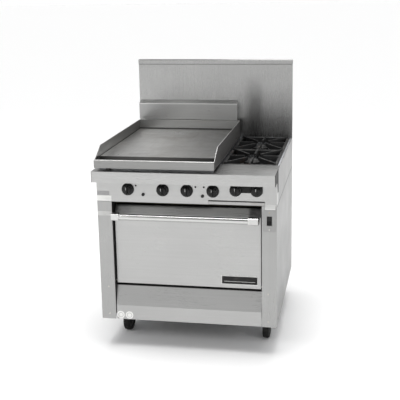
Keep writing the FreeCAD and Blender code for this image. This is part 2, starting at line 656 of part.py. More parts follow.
def burner_centres():
    """(x, y) of each open burner, under the middle of its grate."""
    return [(BURNER_X, (y0 + y1) / 2) for y0, y1 in GRATE_Y]


def burner_bodies():
    """Cast bowls with their mixer tubes, one straight and one slanted past the front bowl."""
    bodies = []
    for (x, y), (valve_x, _) in zip(burner_centres(), KNOBS[4:]):
        bowl = Part.makeCone(20, BOWL_R, 26, V(x, y, 846), V(0, 0, 1))
        rim = rod((x, y, 872), (x, y, 880), BOWL_R)
        tube = rod((valve_x, FRONT + 96, 838), (x, y, 846), 11)
        stem = rod((x, y, 832), (x, y, 847), 20)
        mouth = rod((valve_x, FRONT + 80, 838), (valve_x, FRONT + 98, 838), 16)
        bodies.append(fuse([bowl, rim, tube, stem, mouth]))
    return bodies


def burner_heads():
    """Lift-off heads: a ported ring under a domed cap."""
    heads = []
    for x, y in burner_centres():
        ring = rod((x, y, 880), (x, y, 894), HEAD_R)
        ports = []
        for i in range(20):
            port = rod((x + HEAD_R - 6, y, 887), (x + HEAD_R + 8, y, 887), 1.8)
            port.rotate(V(x, y, 0), V(0, 0, 1), i * 18)
            ports.append(port)
        dome = Part.makeCone(38, 26, 9, V(x, y, 894), V(0, 0, 1))
        heads.append(fuse([ring.cut(Part.makeCompound(ports)), dome]))
    return heads


# ---------------------------------------------------------------- gas train and controls
def gas_manifold():
    """Front manifold, and the supply pipe along the right to the inlet."""
    z = MANIFOLD_Z
    half = PIPE_R + 4
    y, left = MANIFOLD_Y, -340
    elbow = block(GAS_X - half, GAS_X + half, y - half, y + half, z - half, z + half)
    front = rod((left, y, z), (GAS_X - half, y, z), PIPE_R)
    supply = rod((GAS_X, y + half, z), (GAS_X, REGULATOR_Y - REGULATOR_R - 0.5, z), PIPE_R)
    cap = rod((left - 12, y, z), (left, y, z), PIPE_R + 2)
    return [rounded(elbow, 5.0, lambda b: True), front, supply, cap]


def regulator():
    """Pressure regulator and the threaded inlet behind it."""
    z = MANIFOLD_Z
    body = rod((GAS_X, REGULATOR_Y, z - 22), (GAS_X, REGULATOR_Y, z + 16), REGULATOR_R)
    dome = Part.makeCone(REGULATOR_R, 12, 8, V(GAS_X, REGULATOR_Y, z + 16), V(0, 0, 1))
    inlet = rod((GAS_X, REGULATOR_Y + 15, z), (GAS_X, REAR, z), INLET_R + 5)
    bore = rod((GAS_X, REAR - INLET_DEEP, z), (GAS_X, REAR + 1, z), INLET_R)
    return fuse([body, dome, inlet]).cut(bore)


def oven_gas_tube():
    """Small tube from the oven's valve, over and down the right side, to the oven burner's orifice."""
    x, z = KNOBS[3]
    y = FRONT + 98
    side = 408
    half = 5.5
    drop = z - 18
    route = [V(x, VALVE_BACK, z), V(x, y, z), V(x, y, drop), V(side, y, drop), V(side, y, OVEN_BURNER_Z),
             V(0, y, OVEN_BURNER_Z), V(0, y + 14, OVEN_BURNER_Z)]
    elbows = [block(p.x - half, p.x + half, p.y - half, p.y + half, p.z - half, p.z + half)
              for p in route[1:-1]]
    runs = []
    for i, (a, b) in enumerate(zip(route, route[1:])):
        way = (b - a).normalize() * half
        start = a if i == 0 else a + way
        end = b if i == len(route) - 2 else b - way
        runs.append(Part.makeCylinder(4, (end - start).Length, start, way))
    return runs + elbows


def gas_valves():
    """A valve under the manifold for each knob, with the nose that its stem enters and an outlet behind."""
    bodies = []
    for x, z in KNOBS:
        top = MANIFOLD_Z - PIPE_R - FIT
        body = block(x - 13, x + 13, FRONT + 16, FRONT + 56, z - 14, top)
        nose = rod((x, FRONT + 14, z), (x, FRONT + 17, z), 9)
        outlet = rod((x, FRONT + 56, z), (x, VALVE_BACK, z), 6)
        bodies.append(fuse([body, nose, outlet]))
    return bodies


def knob(x, z):
    """Skirted knob with a grip across its face, and the valve stem that it turns."""
    skirt = Part.makeCone(29, 27, 7, V(x, FRONT - 5, z), V(0, -1, 0))
    body = Part.makeCone(23, 21, 14, V(x, FRONT - 12, z), V(0, -1, 0))
    grip = block(x - 7, x + 7, FRONT - 42, FRONT - 24, z - 21, z + 21)
    grip = rounded(grip, 3.0, lambda b: b.YMax < FRONT - 41.9)
    stem = rod((x, FRONT - 6, z), (x, FRONT + 12, z), STEM_R)
    return fuse([skirt, body, grip, stem])


def knob_bezels():
    """Ring behind each of the first four knobs, and one plate behind the burner pair."""
    rings = []
    for x, z in KNOBS[:4]:
        ring = rod((x, FRONT - 3, z), (x, FRONT, z), 30)
        rings.append(ring.cut(rod((x, FRONT - 4, z), (x, FRONT + 1, z), STEM_HOLE_R)))
    x0, x1 = KNOBS[4][0] - 24, KNOBS[5][0] + 28
    plate = block(x0, x1, FRONT - 3, FRONT, 812, 843)
    holes = [rod((x, FRONT - 4, z), (x, FRONT + 1, z), STEM_HOLE_R) for x, z in KNOBS[4:]]
    return rings + [plate.cut(Part.makeCompound(holes))]


def igniter_button(x, z):
    """Push button with a collar that keeps it behind the panel."""
    cap = rod((x, FRONT - 6, z), (x, FRONT + 8, z), BUTTON_R)
    collar = rod((x, FRONT + 8, z), (x, FRONT + 10, z), BUTTON_R + 2)
    return fuse([rounded(cap, 1.2, lambda b: b.YMax < FRONT - 5.9), collar])


def rocker_window():
    """The opening that the rocker shows through."""
    w, h = ROCKER[0] / 2 + 0.8, ROCKER[1] / 2 + 1.8
    return block(SWITCH_X - w, SWITCH_X + w, FRONT - 5, FRONT + 5, SWITCH_Z - h, SWITCH_Z + h)


def switch_plate():
    """Cover plate with the rocker's window, the drip hood over it, and the switch's body behind."""
    x0, x1, z0, z1 = SWITCH_X - 31, SWITCH_X + 31, SWITCH_Z - 53, SWITCH_Z + 52
    plate = block(x0, x1, FRONT - 3, FRONT, z0, z1)
    plate = rounded(plate, 8.0, lambda b: b.YLength > 2.9 and b.XLength < 0.1 and b.ZLength < 0.1)
    low, high = HOOD_Z
    outline = [(FRONT, low), (FRONT, high), (FRONT - 9, low + 6), (FRONT - 9, low)]
    hood = prism_x(outline, SWITCH_X - 20, SWITCH_X + 28)
    body = block(SWITCH_X - 11, SWITCH_X + 11, ROCKER_PIVOT_Y + 6, FRONT + 34, SWITCH_Z - 24, SWITCH_Z + 24)
    bore = rod((SWITCH_X - 12, ROCKER_PIVOT_Y, SWITCH_Z), (SWITCH_X + 12, ROCKER_PIVOT_Y, SWITCH_Z),
               ROCKER_PIN_R + AXLE_FIT)
    ears = [block(x - 3, x + 3, FRONT + SHEET + FIT, ROCKER_PIVOT_Y + 6, SWITCH_Z - 5, SWITCH_Z + 5).cut(bore)
            for x in (SWITCH_X - 8, SWITCH_X + 8)]
    return [plate.cut(rocker_window()), hood, body] + ears


def rocker_switch():
    """Rocker in its off position, on a pin that turns in the ears behind it."""
    w, h = ROCKER[0] / 2, ROCKER[1] / 2
    y, z = FRONT - 3.2, SWITCH_Z
    outline = [(y - 2.5, z - h), (y, z), (y - 2.5, z + h), (y + 2.9, z + h - 1), (y + 2.9, z - h + 1)]
    paddle = prism_x(outline, SWITCH_X - w, SWITCH_X + w)
    rib = block(SWITCH_X - 4, SWITCH_X + 4, y + 2, ROCKER_PIVOT_Y + 1.5, z - 2, z + 2)
    pin = rod((SWITCH_X - 11, ROCKER_PIVOT_Y, z), (SWITCH_X + 11, ROCKER_PIVOT_Y, z), ROCKER_PIN_R)
    rocker = fuse([paddle, rib, pin])
    rocker.rotate(V(SWITCH_X, ROCKER_PIVOT_Y, z), V(1, 0, 0), -ROCKER_TILT)
    return rocker


def screws():
    """Pan-head screws of the switch plate, and of the panels that come off."""
    heads = [rod((SWITCH_X, FRONT - 5, z), (SWITCH_X, FRONT - 3, z), 3.2)
             for z in (SWITCH_Z - 41, SWITCH_Z + 40)]
    heads += [rod((s * 392, FRONT - 2, z), (s * 392, FRONT, z), 3.5) for s in (-1, 1) for z in (180, 320)]
    return heads


# ---------------------------------------------------------------- casters
def caster_frames():
    """Name, pivot on the floor and swivel of each caster."""
    for name, side, row, swivel in CASTERS:
        yield name, V(side * CASTER_X, CASTER_Y[row], 0), swivel


def placed(shape, pivot, swivel):
    """Moves a caster piece drawn on the origin, with its wheel trailing towards +Y, to its place."""
    shape.rotate(V(0, 0, 0), V(0, 0, 1), swivel)
    shape.translate(pivot)
    return shape


def caster_plate(pivot):
    """Plate under the frame, with the ball race below it and the hole for the king pin."""
    plate = block(-50, 50, -42, 42, BODY_Z - 5, BODY_Z)
    race = rod((0, 0, BODY_Z - 12), (0, 0, BODY_Z - 5), 30)
    king_hole = rod((0, 0, BODY_Z - 13), (0, 0, BODY_Z - 8), KING_PIN_R + AXLE_FIT)
    return placed(fuse([plate, race]).cut(king_hole), pivot, 0)


def caster_fork():
    """Crown with its king pin, two legs, and the axle with its nuts."""
    crown = rod((0, 0, BODY_Z - 18), (0, 0, BODY_Z - 12.2), 33)
    king = rod((0, 0, BODY_Z - 13), (0, 0, BODY_Z - 8.5), KING_PIN_R)
    bridge = block(-22, 22, -6, TRAIL + 12, BODY_Z - 21, BODY_Z - 18)
    legs = []
    for x0, x1 in ((-22, -19), (19, 22)):
        top, foot = BODY_Z - 18, WHEEL_R - 10
        outline = [(-18, top), (TRAIL + 12, top), (TRAIL + 14, foot), (TRAIL - 14, foot)]
        legs.append(prism_x(outline, x0, x1))
    axle = rod((-24, TRAIL, WHEEL_R), (24, TRAIL, WHEEL_R), AXLE_R)
    nuts = [rod((x, TRAIL, WHEEL_R), (x + 4, TRAIL, WHEEL_R), NUT_R) for x in (-26, 22)]
    return fuse([crown, king, bridge, axle] + legs + nuts)


def caster_wheel():
    """Tyred wheel with a crowned tread and a bored hub."""
    half, crown = WHEEL_W / 2, 4.0
    outline = [(AXLE_R + AXLE_FIT, -half), (18, -half), (20, -half + 5), (WHEEL_R - 18, -half + 5),
               (WHEEL_R - 14, -half), (WHEEL_R - crown, -half)]
    points = [V(u, w, 0) for u, w in outline]
    mirror = [V(p.x, -p.y, 0) for p in points[::-1]]
    tread = Part.Arc(points[-1], V(WHEEL_R, 0, 0), mirror[0]).toShape()
    sides = Part.makePolygon(points).Edges + [tread] + Part.makePolygon(mirror + points[:1]).Edges
    face = Part.Face(Part.Wire(sides))
    wheel = face.revolve(V(0, 0, 0), V(0, 1, 0), 360)
    wheel.rotate(V(0, 0, 0), V(0, 0, 1), 90)
    wheel.translate(V(0, TRAIL, WHEEL_R))
    return wheel


# ---------------------------------------------------------------- everything
def main():
    """Writes every node."""
    os.makedirs("parts", exist_ok=True)
    save("base_frame", *base_frame())
    save("side_panels", side_panel(), mirrored(side_panel()))
    save("upper_side_panels", upper_side_panel(), mirrored(upper_side_panel()))
    save("back_panel", *back_panel())
    save("front_frame", *front_frame())
    save("kick_panel", kick_panel())
    save("control_panel", control_panel())
    save("front_ledge", front_ledge())
    save("ledge_end_caps", ledge_end_cap(), mirrored(ledge_end_cap()))
    save("oven_liner", *oven_liner())
    save("oven_insulation", *oven_insulation())
    save("oven_burner", oven_burner(), *burner_cradle())
    save("rack_guides", *rack_guide(), *[mirrored(s) for s in rack_guide()])
    save("oven_rack_lower", oven_rack(RACK_LEVELS[0]))
    save("oven_rack_upper", oven_rack(RACK_LEVELS[2]))
    save("fan_baffle", *fan_baffle())
    save("fan_wheel", fan_wheel())
    save("fan_motor", fan_motor())
    save("door_skin", door_skin())
    save("door_liner", door_liner())
    save("door_insulation", door_insulation())
    save("handle_bar", handle_bar())
    save("handle_brackets", *[handle_bracket(*span) for span in BRACKET_X])
    save("hinge_arms", hinge_arm(), mirrored(hinge_arm()))
    save("door_springs", door_spring(), mirrored(door_spring()))
    save("griddle_plate", griddle_plate())
    save("griddle_surround", *griddle_surround())
    save("grease_pan", *grease_pan())
    save("griddle_burners", *griddle_burners())
    save("flue_riser", flue_riser())
    save("backguard", *backguard(), *guard_braces())
    save("burner_box", *burner_box(), *tray_runners())
    save("drip_tray", *drip_tray())
    for name, span in zip(("grate_front", "grate_rear"), GRATE_Y):
        save(name, grate(*span))
    save("burner_bodies", *burner_bodies())
    save("burner_heads", *burner_heads())
    save("gas_manifold", *gas_manifold(), regulator(), *oven_gas_tube())
    save("gas_valves", *gas_valves())
    for name, (x, z) in zip(KNOB_NAMES, KNOBS):
        save("knob_" + name, knob(x, z))
    save("knob_bezels", *knob_bezels())
    for name, (x, z) in zip(("igniter_button_left", "igniter_button_right"), BUTTONS):
        save(name, igniter_button(x, z))
    save("switch_plate", *switch_plate())
    save("rocker_switch", rocker_switch())
    save("screws", *screws())
    save("caster_plates", *[caster_plate(pivot) for _, pivot, _ in caster_frames()])
    for name, pivot, swivel in caster_frames():
        save("fork_" + name, placed(caster_fork(), pivot, swivel))
        save("wheel_" + name, placed(caster_wheel(), pivot, swivel))


main()
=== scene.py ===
"""Looks of a commercial gas range: finishes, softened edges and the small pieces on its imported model.

Metres throughout, in the model's frame: +X to the cook's right, +Y to the wall, +Z up, origin on the floor.
"""

import json
import math

import bmesh
import bpy
from mathutils import Matrix, Vector


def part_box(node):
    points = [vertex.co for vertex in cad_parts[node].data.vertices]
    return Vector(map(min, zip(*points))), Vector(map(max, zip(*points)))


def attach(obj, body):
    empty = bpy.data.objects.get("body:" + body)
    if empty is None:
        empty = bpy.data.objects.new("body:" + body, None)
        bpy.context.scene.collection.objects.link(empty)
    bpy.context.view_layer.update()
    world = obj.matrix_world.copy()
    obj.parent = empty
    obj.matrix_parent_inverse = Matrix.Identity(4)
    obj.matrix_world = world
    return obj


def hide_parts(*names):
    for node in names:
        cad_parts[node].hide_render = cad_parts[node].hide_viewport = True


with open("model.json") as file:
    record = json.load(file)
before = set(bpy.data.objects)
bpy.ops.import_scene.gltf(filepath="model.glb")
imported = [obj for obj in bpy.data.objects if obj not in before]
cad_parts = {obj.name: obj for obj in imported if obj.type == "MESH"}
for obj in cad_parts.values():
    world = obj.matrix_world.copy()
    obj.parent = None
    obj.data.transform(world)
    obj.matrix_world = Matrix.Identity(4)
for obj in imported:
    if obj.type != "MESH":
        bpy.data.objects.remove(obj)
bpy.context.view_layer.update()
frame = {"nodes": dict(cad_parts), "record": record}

MM = 0.001
KNOBS = ("griddle_left", "griddle_middle", "griddle_right", "oven", "burner_left", "burner_right")
CORNERS = ("front_left", "front_right", "rear_left", "rear_right")


def middle(node):
    """Centre of a node's box."""
    low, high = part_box(node)
    return (Vector(low) + Vector(high)) / 2


# ---------------------------------------------------------------- finishes
class Finish:
    """A Principled material and the node shapes that the finishes share, in the part's own metres."""

    def __init__(self, name, color, rough, metal=0.0, **sockets):
        self.material = bpy.data.materials.new(name)
        self.material.use_nodes = True
        self.nodes = self.material.node_tree.nodes
        self.links = self.material.node_tree.links
        self.shader = self.nodes["Principled BSDF"]
        self.place = self.nodes.new("ShaderNodeTexCoord").outputs["Object"]
        self.put("Base Color", (*color, 1.0))
        self.put("Roughness", rough)
        self.put("Metallic", metal)
        for socket, value in sockets.items():
            self.put(socket.replace("_", " "), value)

    def put(self, socket, value):
        if isinstance(value, bpy.types.NodeSocket):
            self.links.new(value, self.shader.inputs[socket])
        else:
            self.shader.inputs[socket].default_value = value

    def noise(self, per_metre, stretch=(1, 1, 1), detail=3.0, rough=0.55, warp=0.0, shift=0.0):
        """Noise with so many features a metre; stretch under 1 draws it out along that axis."""
        mapping = self.nodes.new("ShaderNodeMapping")
        mapping.inputs["Scale"].default_value = stretch
        mapping.inputs["Location"].default_value = (shift, shift * 0.7, -shift)
        self.links.new(self.place, mapping.inputs["Vector"])
        noise = self.nodes.new("ShaderNodeTexNoise")
        noise.inputs["Scale"].default_value = per_metre
        noise.inputs["Detail"].default_value = detail
        noise.inputs["Roughness"].default_value = rough
        noise.inputs["Distortion"].default_value = warp
        self.links.new(mapping.outputs["Vector"], noise.inputs["Vector"])
        return noise.outputs["Fac"]

    def cells(self, per_metre, feature="F1"):
        voronoi = self.nodes.new("ShaderNodeTexVoronoi")
        voronoi.feature = feature
        voronoi.inputs["Scale"].default_value = per_metre
        self.links.new(self.place, voronoi.inputs["Vector"])
        return voronoi.outputs["Distance"]

    def span(self, value, low, high, to_low, to_high):
        """Maps low..high to to_low..to_high and clamps."""
        node = self.nodes.new("ShaderNodeMapRange")
        self.links.new(value, node.inputs["Value"])
        for socket, number in zip(("From Min", "From Max", "To Min", "To Max"), (low, high, to_low, to_high)):
            node.inputs[socket].default_value = number
        return node.outputs["Result"]

    def math(self, operation, a, b):
        node = self.nodes.new("ShaderNodeMath")
        node.operation = operation
        for socket, value in zip(node.inputs, (a, b)):
            if isinstance(value, bpy.types.NodeSocket):
                self.links.new(value, socket)
            else:
                socket.default_value = value
        return node.outputs["Value"]

    def blend(self, share, a, b):
        """Colour a where share is 0, b where it is 1."""
        node = self.nodes.new("ShaderNodeMix")
        node.data_type = "RGBA"
        self.links.new(share, node.inputs["Factor"])
        for socket, value in ((node.inputs[6], a), (node.inputs[7], b)):
            if isinstance(value, bpy.types.NodeSocket):
                self.links.new(value, socket)
            else:
                socket.default_value = (*value, 1.0)
        return node.outputs[2]

    def axis(self, name):
        """The part's x, y or z at each point."""
        node = self.nodes.new("ShaderNodeSeparateXYZ")
        self.links.new(self.place, node.inputs["Vector"])
        return node.outputs[name]

    def facing(self, axis):
        """How far the face looks along an axis of the part, -1 to 1."""
        geometry = self.nodes.new("ShaderNodeNewGeometry")
        node = self.nodes.new("ShaderNodeSeparateXYZ")
        self.links.new(geometry.outputs["True Normal"], node.inputs["Vector"])
        return node.outputs[axis]

    def veil(self, share, tone, rough=0.6):
        """Lays something dull and not metallic over the surface where share is 1."""
        base = self.shader.inputs["Base Color"].links[0].from_socket
        self.put("Base Color", self.blend(share, base, tone))
        self.put("Metallic", self.span(share, 0.0, 1.0, 1.0, 0.0))
        under = self.shader.inputs["Roughness"].links[0].from_socket
        self.put("Roughness", self.math("MAXIMUM", under, self.math("MULTIPLY", share, rough)))

    def dim(self, value, low, high, at_low, at_high):
        """Multiplies the colour by at_low where value is low, and by at_high where it is high."""
        base = self.shader.inputs["Base Color"].links[0].from_socket
        node = self.nodes.new("ShaderNodeVectorMath")
        node.operation = "SCALE"
        self.links.new(base, node.inputs[0])
        self.links.new(self.span(value, low, high, at_low, at_high), node.inputs["Scale"])
        self.put("Base Color", node.outputs["Vector"])

    def bump(self, height, depth, strength=1.0):
        node = self.nodes.new("ShaderNodeBump")
        node.inputs["Strength"].default_value = strength
        node.inputs["Distance"].default_value = depth
        self.links.new(height, node.inputs["Height"])
        if self.shader.inputs["Normal"].is_linked:
            self.links.new(self.shader.inputs["Normal"].links[0].from_socket, node.inputs["Normal"])
        self.links.new(node.outputs["Normal"], self.shader.inputs["Normal"])


def scaled(tone, by):
    """A colour made lighter or darker."""
    return tuple(min(1.0, channel * by) for channel in tone)


def brushed_steel(name, tone, grain=(0.012, 1, 1), rough=0.3, soil=0.0):
    """Sheet steel with a directional grain, wiped-on smears, and soil that gathers in patches."""
    finish = Finish(name, tone, rough, metal=1.0)
    fine = finish.noise(1400, grain, detail=2.0)
    streak = finish.noise(150, grain, detail=4.0, shift=3.1)
    smear = finish.noise(4, (1, 1, 1.6), detail=1.0, shift=7.7)
    cloud = finish.noise(2.2, (1, 1, 1), detail=2.0, shift=1.3)
    shade = finish.blend(finish.span(streak, 0.3, 0.7, 0.0, 1.0), scaled(tone, 0.97), scaled(tone, 1.03))
    shade = finish.blend(finish.span(cloud, 0.35, 0.7, 0.0, 0.5), shade, scaled(tone, 0.9))
    if soil:
        patch = finish.span(finish.noise(11, (1, 1, 1), detail=6.0, shift=12.0), 0.55, 0.75, 0.0, soil)
        shade = finish.blend(patch, shade, scaled((0.42, 0.38, 0.33), 0.6))
    finish.put("Base Color", shade)
    body = finish.span(smear, 0.3, 0.75, rough - 0.02, rough + 0.05)
    lines = finish.span(fine, 0.25, 0.75, -0.05, 0.05)
    finish.put("Roughness", finish.math("ADD", body, lines))
    finish.bump(fine, 0.00003, 0.2)
    finish.bump(cloud, 0.002, 0.03)
    return finish


def griddle_steel():
    """Ground plate, darkened by heat and use in patches and streaked by the scraper, with a painted
    reflection bright at the left and darkening towards the right, and dark along its front edge.
    """
    finish = Finish("griddle_plate_steel", (0.5, 0.5, 0.49), 0.3, metal=1.0)
    scrape = finish.noise(260, (1, 0.02, 1), detail=4.0)
    season = finish.noise(5, (1, 1, 1), detail=5.0, warp=0.8, shift=4.0)
    spots = finish.noise(60, (1, 1, 1), detail=5.0, shift=9.0)
    base = finish.blend(finish.span(season, 0.35, 0.68, 0.0, 1.0), (0.72, 0.72, 0.71), (0.5, 0.49, 0.47))
    base = finish.blend(finish.span(scrape, 0.35, 0.7, 0.0, 0.35), base, (0.34, 0.33, 0.32))
    base = finish.blend(finish.span(spots, 0.62, 0.75, 0.0, 0.5), base, (0.2, 0.16, 0.12))
    finish.put("Base Color", base)
    finish.put("Roughness", finish.span(season, 0.3, 0.7, 0.26, 0.42))
    low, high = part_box("griddle_plate")
    # painted reflection: a little lighter at the left of the plate and darker towards the right
    wave = finish.span(finish.noise(4, (1, 1, 1), detail=2.0, shift=6.0), 0.3, 0.7, -0.04, 0.04)
    reflection_across = finish.math("ADD", finish.axis("X"), wave)
    finish.dim(reflection_across, low[0] + 0.20, high[0] - 0.04, 1.04, 0.45)
    # dark on the front edge faces, fully at both ends and a little less in the middle
    edge = finish.math("ABSOLUTE", finish.math("SUBTRACT", finish.axis("X"), (low[0] + high[0]) / 2), 0.0)
    front = finish.span(finish.facing("Y"), -0.9, -0.6, 1.0, 0.0)
    dark_front_edge = finish.math("MULTIPLY", front, finish.span(edge, 0.05, 0.27, 0.80, 1.0))
    finish.veil(dark_front_edge, (0.03, 0.029, 0.028))
    finish.bump(scrape, 0.0001, 0.35)
    finish.bump(spots, 0.0001, 0.3)
    return finish.material


def cast_iron(name="cast_iron", tone=(0.012, 0.012, 0.0125)):
    """Sand-cast surface: pitted, with rubbed and rust-tinged high spots."""
    finish = Finish(name, tone, 0.55, Specular_IOR_Level=0.4)
    pits = finish.noise(420, detail=6.0, rough=0.7)
    lumps = finish.noise(70, detail=3.0, shift=2.0)
    rub = finish.noise(28, detail=5.0, shift=5.0)
    up = finish.span(finish.facing("Z"), 0.6, 1.0, 0.0, 1.0)
    worn = finish.math("MULTIPLY", finish.span(rub, 0.48, 0.66, 0.0, 1.0), up)
    base = finish.blend(finish.span(pits, 0.3, 0.7, 0.0, 1.0), scaled(tone, 0.6), scaled(tone, 1.8))
    base = finish.blend(worn, base, (0.06, 0.058, 0.055))
    rust = finish.span(finish.noise(17, detail=6.0, shift=8.0), 0.62, 0.74, 0.0, 0.5)
    finish.put("Base Color", finish.blend(rust, base, (0.075, 0.04, 0.025)))
    finish.put("Roughness", finish.span(lumps, 0.3, 0.7, 0.38, 0.68))
    finish.bump(pits, 0.0005, 0.6)
    finish.bump(lumps, 0.0012, 0.5)
    return finish.material


def enamel():
    """Dark vitreous enamel with pale specks and baked-on stains."""
    finish = Finish("porcelain_enamel", (0.02, 0.022, 0.03), 0.18, Coat_Weight=0.5, Coat_Roughness=0.1)
    speck = finish.span(finish.cells(320), 0.02, 0.16, 1.0, 0.0)
    stain = finish.span(finish.noise(13, detail=6.0, warp=0.5), 0.5, 0.72, 0.0, 0.8)
    base = finish.blend(speck, (0.02, 0.022, 0.03), (0.3, 0.31, 0.34))
    finish.put("Base Color", finish.blend(stain, base, (0.045, 0.03, 0.02)))
    finish.put("Roughness", finish.span(finish.noise(40, detail=4.0), 0.3, 0.7, 0.16, 0.4))
    finish.bump(finish.noise(90, detail=2.0), 0.0006, 0.25)
    return finish.material


def plastic(name, tone, rough, wear=0.2):
    """Moulded plastic: fine texture, finger grease and dulled patches."""
    finish = Finish(name, tone, rough, Specular_IOR_Level=0.3)
    texture = finish.noise(1800, detail=2.0)
    grease = finish.noise(38, detail=4.0, shift=3.0)
    base = finish.blend(finish.span(grease, 0.4, 0.7, 0.0, wear), tone, scaled(tone, 2.4))
    finish.put("Base Color", base)
    finish.put("Roughness", finish.span(grease, 0.3, 0.7, rough - 0.1, rough + 0.12))
    finish.bump(texture, 0.00008, 0.5)
    return finish.material


def black_paint():
    """Satin black paint, dusty in patches; on the rail's end caps it is painted shade."""
    finish = Finish("black_paint", (0.012, 0.012, 0.012), 0.5, Specular_IOR_Level=0.25)
    peel = finish.noise(330, detail=2.0)
    dust = finish.noise(22, detail=5.0, shift=6.0)
    base = finish.blend(finish.span(dust, 0.5, 0.75, 0.0, 0.5), (0.012, 0.012, 0.012), (0.06, 0.058, 0.055))
    finish.put("Base Color", base)
    finish.put("Roughness", finish.span(dust, 0.3, 0.7, 0.45, 0.65))
    finish.bump(peel, 0.0002, 0.35)
    return finish.material


def rubber():
    """Tyre rubber, scuffed pale with floor dust on the tread."""
    finish = Finish("tread_rubber", (0.006, 0.006, 0.006), 0.6, Specular_IOR_Level=0.2)
    dust = finish.noise(55, detail=6.0)
    scuff = finish.noise(240, (1, 1, 1), detail=3.0, shift=2.0)
    base = finish.blend(finish.span(dust, 0.45, 0.75, 0.0, 0.6), (0.008, 0.008, 0.008), (0.03, 0.028, 0.026))
    finish.put("Base Color", base)
    finish.put("Roughness", finish.span(scuff, 0.3, 0.7, 0.5, 0.78))
    finish.bump(scuff, 0.0003, 0.5)
    return finish.material


def zinc(name="zinc_plate", tone=(0.55, 0.56, 0.58)):
    """Galvanised sheet: crystal spangle under a dull skin."""
    finish = Finish(name, tone, 0.42, metal=1.0)
    spangle = finish.cells(60)
    dull = finish.noise(18, detail=5.0, shift=1.0)
    base = finish.blend(finish.span(spangle, 0.1, 0.75, 0.0, 1.0), scaled(tone, 0.86), scaled(tone, 1.06))
    finish.put("Base Color", finish.blend(finish.span(dull, 0.45, 0.7, 0.0, 0.35), base, scaled(tone, 0.66)))
    finish.put("Roughness", finish.span(spangle, 0.1, 0.8, 0.34, 0.55))
    finish.bump(dull, 0.0004, 0.2)
    return finish.material


def plated_wire():
    """Nickel plate, tarnished by heat."""
    finish = Finish("nickel_plate", (0.62, 0.61, 0.58), 0.24, metal=1.0)
    tarnish = finish.noise(30, detail=5.0)
    base = finish.blend(finish.span(tarnish, 0.42, 0.7, 0.0, 1.0), (0.64, 0.63, 0.6), (0.36, 0.31, 0.24))
    finish.put("Base Color", base)
    finish.put("Roughness", finish.span(tarnish, 0.3, 0.7, 0.18, 0.42))
    finish.bump(finish.noise(600, detail=2.0), 0.00008, 0.4)
    return finish.material


def brass():
    """Dulled brass."""
    finish = Finish("brass", (0.56, 0.4, 0.16), 0.32, metal=1.0)
    tarnish = finish.noise(45, detail=4.0)
    base = finish.blend(finish.span(tarnish, 0.4, 0.7, 0.0, 1.0), (0.6, 0.44, 0.18), (0.3, 0.2, 0.09))
    finish.put("Base Color", base)
    finish.put("Roughness", finish.span(tarnish, 0.3, 0.7, 0.25, 0.5))
    finish.bump(finish.noise(500, detail=2.0), 0.0001, 0.3)
    return finish.material


def glass_wool():
    """Yellow insulation: fibres in loose tufts."""
    finish = Finish("glass_wool", (0.62, 0.5, 0.22), 0.95, Sheen_Weight=0.3)
    fibre = finish.noise(500, (1, 1, 0.2), detail=5.0, warp=1.5)
    tuft = finish.noise(45, detail=4.0)
    base = finish.blend(finish.span(tuft, 0.3, 0.7, 0.0, 1.0), (0.46, 0.36, 0.14), (0.7, 0.6, 0.33))
    finish.put("Base Color", base)
    finish.bump(fibre, 0.001, 0.7)
    finish.bump(tuft, 0.004, 0.6)
    return finish.material


def card(name, tone):
    """Printed film: faintly mottled, with dirt along it."""
    finish = Finish(name, tone, 0.45)
    mottle = finish.noise(160, detail=4.0)
    dirt = finish.noise(30, detail=5.0, shift=4.0)
    base = finish.blend(finish.span(mottle, 0.3, 0.7, 0.0, 1.0), scaled(tone, 0.93), tone)
    finish.put("Base Color", finish.blend(finish.span(dirt, 0.5, 0.75, 0.0, 0.35), base, scaled(tone, 0.6)))
    finish.put("Roughness", finish.span(dirt, 0.3, 0.7, 0.35, 0.6))
    finish.bump(mottle, 0.0001, 0.2)
    return finish.material


# Dark tone for burnt grease on the griddle seams, and for painted shade in the gaps round the door.
SOOT_AND_SHADE = (0.012, 0.011, 0.010)


def surround_steel():
    """The griddle's splash and trough: heat-dulled, painted highlight on upward faces, painted reflection of
    the dark deck on the side by the burners, dark deep in the trough.
    """
    low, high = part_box("griddle_surround")
    plate_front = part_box("griddle_plate")[0][1]
    finish = brushed_steel("griddle_surround_steel", (0.30, 0.30, 0.295), (0.02, 0.02, 1), 0.34, soil=0.2)
    # painted highlight: upward faces made up to 2.4 times lighter
    finish.dim(finish.facing("Z"), 0.7, 0.95, 1.0, 2.4)
    # painted reflection of the dark deck on the outer side face next to the burners
    dark_deck_reflection = finish.span(finish.axis("X"), high[0] - 0.0006, high[0] - 0.0003, 0.0, 1.0)
    behind_bar = finish.span(finish.axis("Y"), low[1] + 0.0135, low[1] + 0.0145, 0.0, 1.0)
    before_plate = finish.span(finish.axis("Y"), plate_front - 0.001, plate_front, 1.0, 0.0)
    inside = finish.math("MULTIPLY", behind_bar, before_plate)
    deep = finish.span(finish.axis("Z"), 0.952, 0.962, 1.0, 0.0)
    finish.veil(finish.math("MAXIMUM", dark_deck_reflection, finish.math("MULTIPLY", inside, deep)), (0.05, 0.048, 0.046))
    return finish.material


def frame_steel():
    """Stiles: bright in front, with painted shade on the faces inside the door opening."""
    finish = brushed_steel("stile_steel", scaled(STEEL, 0.82), ALONG_Z, 0.3)
    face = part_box("front_frame")[0][1]
    # painted shade on the stile faces that sit in the gap round the door
    finish.veil(finish.span(finish.axis("Y"), face + 0.0015, face + 0.004, 0.0, 1.0), SOOT_AND_SHADE)
    return finish.material


def kick_steel():
    """Lower front panel, with painted shade on the flange that lies under the door."""
    finish = brushed_steel("kick_steel", scaled(STEEL, 0.94), ALONG_X, 0.3)
    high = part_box("kick_panel")[1]
    # painted shade along the top flange, in the gap under the door
    finish.veil(finish.span(finish.axis("Z"), high[2] - 0.003, high[2] - 0.001, 0.0, 1.0), SOOT_AND_SHADE)
    return finish.material


